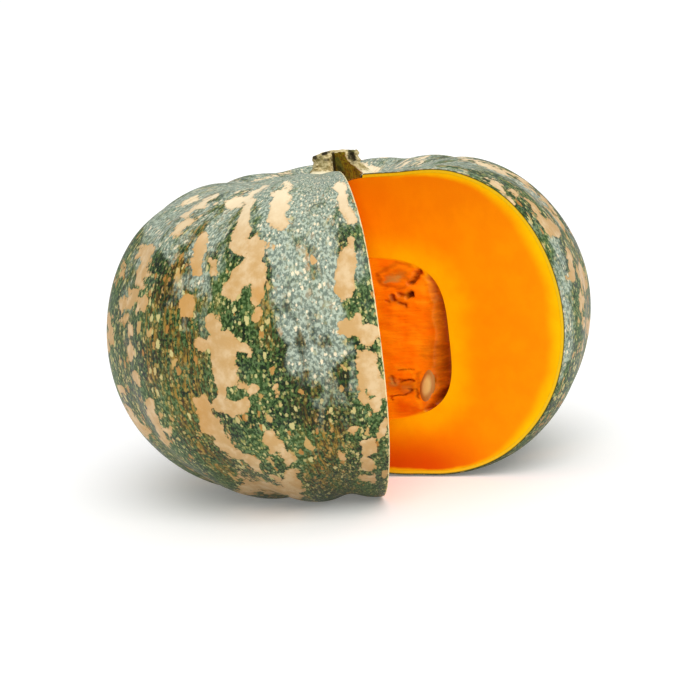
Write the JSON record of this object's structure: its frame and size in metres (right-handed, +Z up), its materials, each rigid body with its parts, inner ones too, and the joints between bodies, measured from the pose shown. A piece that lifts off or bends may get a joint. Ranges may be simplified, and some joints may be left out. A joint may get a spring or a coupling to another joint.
{
  "type": "cut pumpkin",
  "caption": "Round ribbed green pumpkin standing upright with a wedge cut out through the stem, showing thick orange flesh, a seed hollow with stringy pulp and seeds, and a dry ribbed stem.",
  "frame": {"origin": "on the surface the fruit stands on, under the centre of its box", "axes": "+Z up along the stem; -Y out through the middle of the missing wedge; +X to the right when looking into the wedge"},
  "size_m": [0.2285, 0.2207, 0.153],
  "materials": {
    "rind": "satin waxy skin, dark green with cream speckles and patches",
    "flesh": "moist cut flesh, saturated orange",
    "stem": "dry corky stub, matte",
    "pulp": "wet stringy pulp, deep orange",
    "seed": "smooth cream seed coat"
  },
  "bodies": {
    "root": {"rind": "rind", "flesh": "flesh", "stem": "stem", "seed_pulp": "pulp"}
  },
  "joints": []
}
